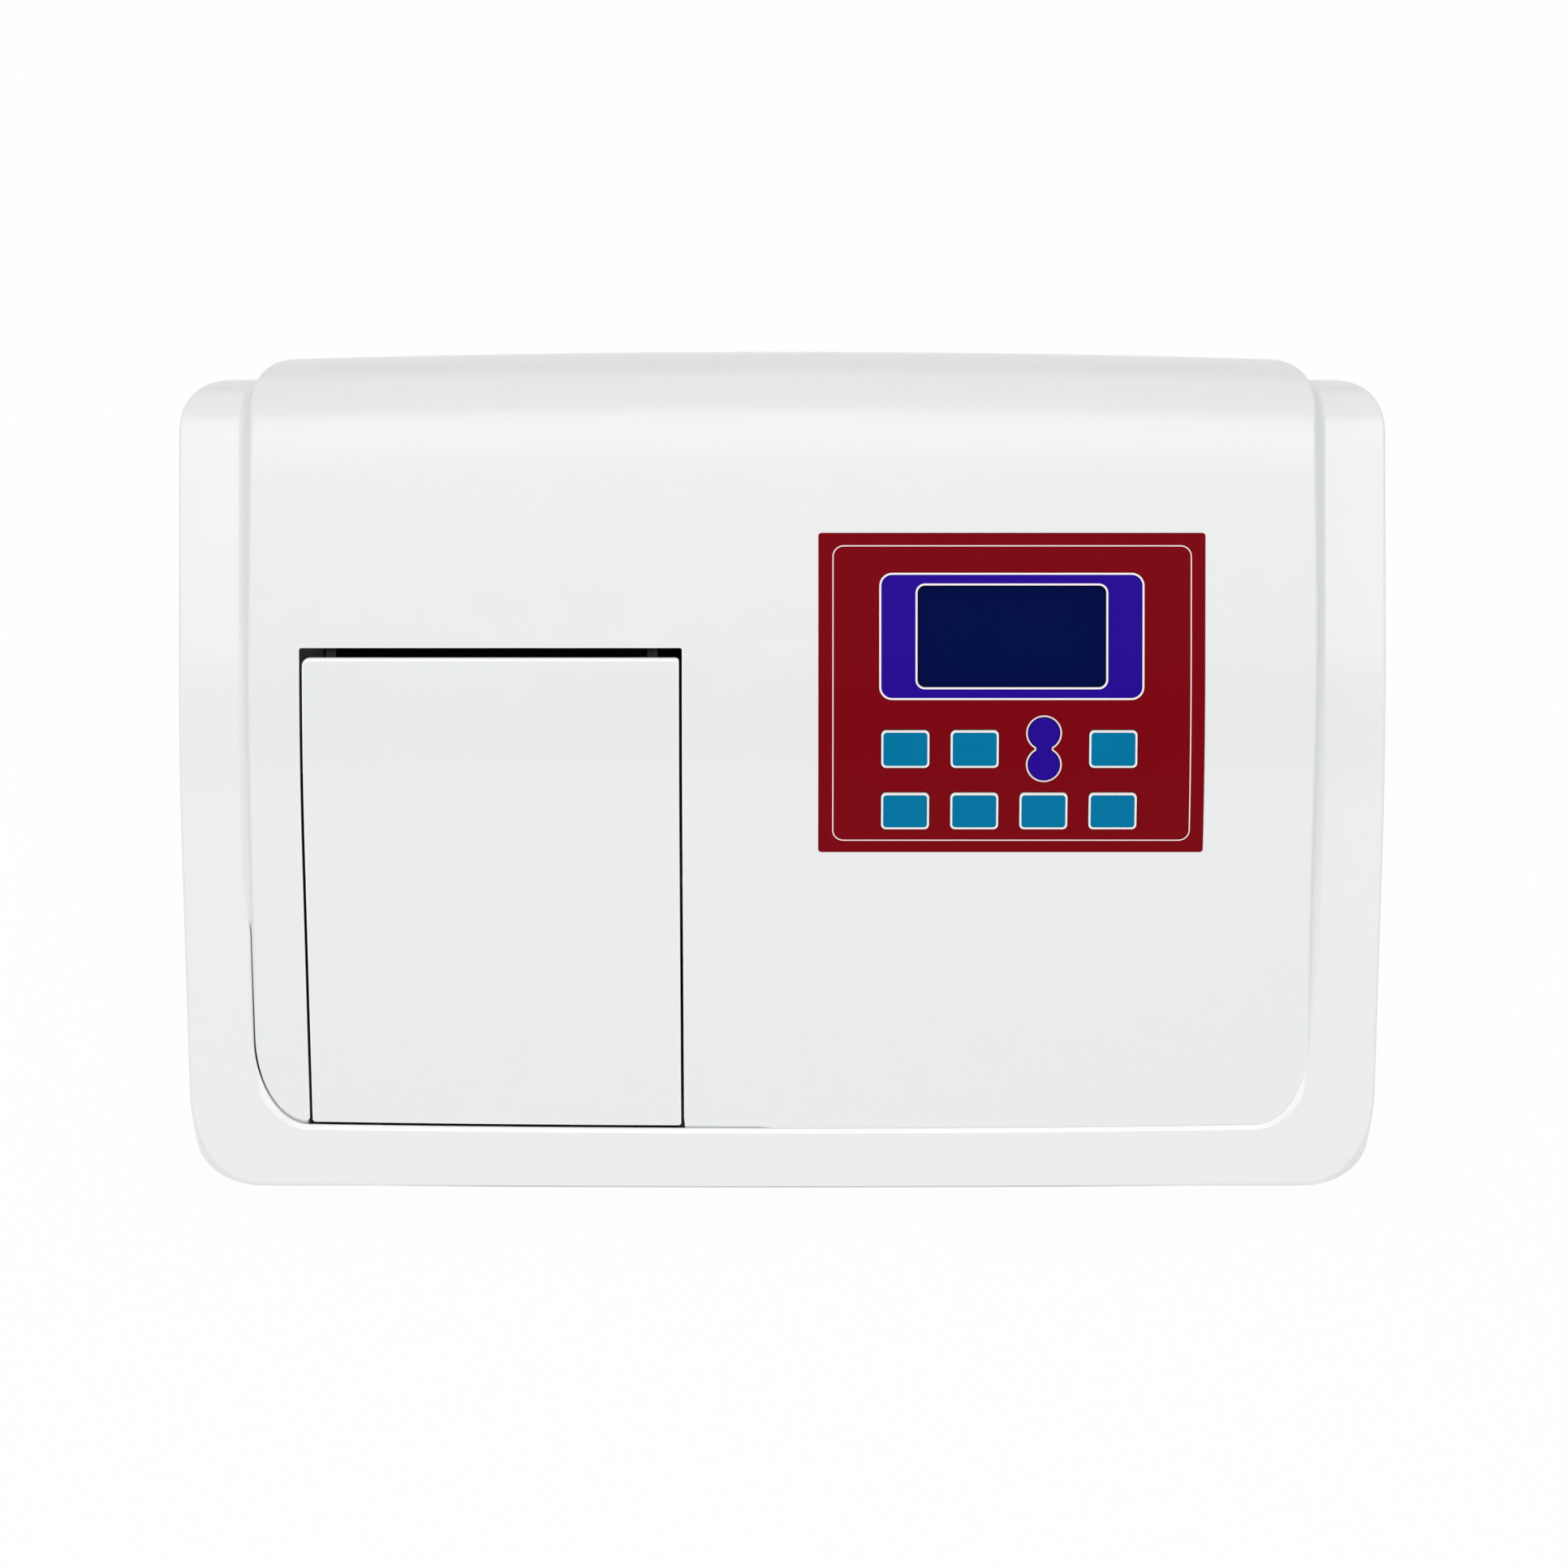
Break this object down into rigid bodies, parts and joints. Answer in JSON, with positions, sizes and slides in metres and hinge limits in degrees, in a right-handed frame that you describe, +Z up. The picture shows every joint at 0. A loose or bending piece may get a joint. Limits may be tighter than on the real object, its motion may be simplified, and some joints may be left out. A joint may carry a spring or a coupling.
{
  "type": "uv-vis spectrophotometer",
  "caption": "Benchtop UV-vis spectrophotometer with a wedge-shaped white case, a raised middle band, a hinged sample lid and a red keypad with a blue display.",
  "frame": {"origin": "on the table under the middle of the object's box", "axes": "+X to the right as seen by the person using it, +Y towards the back, +Z up"},
  "size_m": [0.476, 0.2802, 0.223],
  "materials": {
    "case_white": "satin moulded plastic, off-white",
    "band_white": "satin moulded plastic, off-white",
    "liner_black": "matt light-tight foam",
    "steel": "brushed",
    "zinc_sheet": "zinc plated sheet",
    "rubber_black": "matt",
    "panel_grey": "fine texture powder coat",
    "black_anodised": "matt black anodised",
    "cast_grey": "cast, bead blasted",
    "quartz": "clear quartz",
    "mirror_coat": "first-surface mirror",
    "board_green": "solder mask",
    "motor_black": "satin black",
    "brass": "machined",
    "copper": "varnished windings",
    "filter_glass": "coloured optical glass",
    "plug_black": "moulded",
    "overlay_red": "satin printed film, wine red",
    "bezel_violet": "printed film, violet",
    "lcd_blue": "display glass, dark blue",
    "key_teal": "satin keycap, teal",
    "key_violet": "satin keycap, violet",
    "port_metal": "plated shell"
  },
  "bodies": {
    "case": {"outer_case": "case_white", "center_cover": "band_white", "lid_seal": "liner_black", "hinge_pins": "steel", "hinge_brackets": "zinc_sheet", "base_plate": "zinc_sheet", "rubber_feet": "rubber_black", "case_screws": "steel", "rear_panel": "panel_grey", "sample_tub": "black_anodised", "beam_windows": "quartz", "guide_rods": "steel", "carriage_motor": "motor_black", "detector_housing": "cast_grey", "photodiode": "board_green", "monochromator_box": "cast_grey", "monochromator_cover": "cast_grey", "slit_plates": "black_anodised", "collimating_mirror": "mirror_coat", "focusing_mirror": "mirror_coat", "wavelength_motor": "motor_black", "filter_motor": "motor_black", "lamp_house": "zinc_sheet", "deuterium_lamp": "quartz", "tungsten_lamp": "quartz", "mirror_motor": "motor_black", "power_supply": "board_green", "transformer": "copper", "main_board": "board_green", "data_ports": "port_metal", "power_inlet": "plug_black", "switch_frame": "plug_black", "fan_frame": "plug_black", "keypad_overlay": "overlay_red", "display_bezel": "bezel_violet", "lcd_module": "lcd_blue", "key_board": "board_green"},
    "lid": {"sample_lid": "band_white", "lid_liner": "liner_black"},
    "carriage": {"cell_carriage": "black_anodised"},
    "carriage_drive": {"carriage_screw": "steel"},
    "grating_arm": {"grating_table": "cast_grey", "grating": "mirror_coat"},
    "nut": {"wavelength_nut": "brass"},
    "wave_drive": {"wavelength_screw": "steel"},
    "wheel": {"filter_wheel": "black_anodised", "filter_glasses": "filter_glass"},
    "mirror": {"source_mirror": "mirror_coat"},
    "fan": {"fan_rotor": "plug_black"},
    "switch": {"power_rocker": "plug_black"},
    "rocker": {"rocker_key": "key_violet"},
    "key_top_1_cap": {"key_top_1": "key_teal"},
    "key_top_2_cap": {"key_top_2": "key_teal"},
    "key_top_4_cap": {"key_top_4": "key_teal"},
    "key_low_1_cap": {"key_low_1": "key_teal"},
    "key_low_2_cap": {"key_low_2": "key_teal"},
    "key_low_3_cap": {"key_low_3": "key_teal"},
    "key_low_4_cap": {"key_low_4": "key_teal"}
  },
  "joints": [
    {"name": "lid_hinge", "type": "hinge", "parent": "case", "child": "lid", "pos_m": [-0.1148, 0.01325, 0.16632], "axis": [-1, 0, 0], "range_deg": [0, 90]},
    {"name": "carriage_slide", "type": "slide", "parent": "case", "child": "carriage", "axis": [0, 1, 0], "range_m": [0, 0.045]},
    {"name": "carriage_screw_turn", "type": "hinge", "parent": "case", "child": "carriage_drive", "pos_m": [-0.1148, -0.098, 0.0345], "axis": [0, 1, 0], "range_deg": [-4060, 10]},
    {"name": "grating_turn", "type": "hinge", "parent": "case", "child": "grating_arm", "pos_m": [0.08, 0.036, 0.032], "axis": [0, 0, 1], "range_deg": [-15, 15]},
    {"name": "wavelength_nut_slide", "type": "slide", "parent": "case", "child": "nut", "axis": [0, 1, 0], "range_m": [-0.0132, 0.0132]},
    {"name": "wavelength_screw_turn", "type": "hinge", "parent": "case", "child": "wave_drive", "pos_m": [0.142, 0.01735, 0.039], "axis": [0, 1, 0], "range_deg": [-4750, 4750]},
    {"name": "filter_wheel_turn", "type": "hinge", "parent": "case", "child": "wheel", "pos_m": [0.01, 0.072, 0.086], "axis": [0, 1, 0], "continuous": true},
    {"name": "source_mirror_turn", "type": "hinge", "parent": "case", "child": "mirror", "pos_m": [0.01, 0.095, 0.045], "axis": [0, 0, 1], "range_deg": [0, 90]},
    {"name": "fan_turn", "type": "hinge", "parent": "case", "child": "fan", "pos_m": [0.01, 0.12711, 0.066], "axis": [0, 1, 0], "continuous": true},
    {"name": "power_switch_rock", "type": "hinge", "parent": "case", "child": "switch", "pos_m": [0.138, 0.13511, 0.092], "axis": [1, 0, 0], "range_deg": [-16, 0]},
    {"name": "rocker_key_rock", "type": "hinge", "parent": "case", "child": "rocker", "pos_m": [0.1031, -0.01331, 0.14947], "axis": [1, 0, 0], "range_deg": [-2.5, 2.5], "stiffness_Nm_per_rad": 0.05},
    {"name": "key_top_1_press", "type": "slide", "parent": "case", "child": "key_top_1_cap", "axis": [0, 0.6438, -0.7652], "range_m": [0, 0.001], "stiffness_N_per_m": 600, "springref_m": -0.0004},
    {"name": "key_top_2_press", "type": "slide", "parent": "case", "child": "key_top_2_cap", "axis": [0, 0.6438, -0.7652], "range_m": [0, 0.001], "stiffness_N_per_m": 600, "springref_m": -0.0004},
    {"name": "key_top_4_press", "type": "slide", "parent": "case", "child": "key_top_4_cap", "axis": [0, 0.6438, -0.7652], "range_m": [0, 0.001], "stiffness_N_per_m": 600, "springref_m": -0.0004},
    {"name": "key_low_1_press", "type": "slide", "parent": "case", "child": "key_low_1_cap", "axis": [0, 0.7288, -0.6848], "range_m": [0, 0.001], "stiffness_N_per_m": 600, "springref_m": -0.0004},
    {"name": "key_low_2_press", "type": "slide", "parent": "case", "child": "key_low_2_cap", "axis": [0, 0.7288, -0.6848], "range_m": [0, 0.001], "stiffness_N_per_m": 600, "springref_m": -0.0004},
    {"name": "key_low_3_press", "type": "slide", "parent": "case", "child": "key_low_3_cap", "axis": [0, 0.7288, -0.6848], "range_m": [0, 0.001], "stiffness_N_per_m": 600, "springref_m": -0.0004},
    {"name": "key_low_4_press", "type": "slide", "parent": "case", "child": "key_low_4_cap", "axis": [0, 0.7288, -0.6848], "range_m": [0, 0.001], "stiffness_N_per_m": 600, "springref_m": -0.0004}
  ],
  "couplings": [
    {"joint": "carriage_screw_turn", "follows": "carriage_slide", "rad_per_m": -1570.8},
    {"joint": "wavelength_nut_slide", "follows": "grating_turn", "m_per_rad": 0.05},
    {"joint": "wavelength_screw_turn", "follows": "grating_turn", "ratio": -314.16}
  ]
}
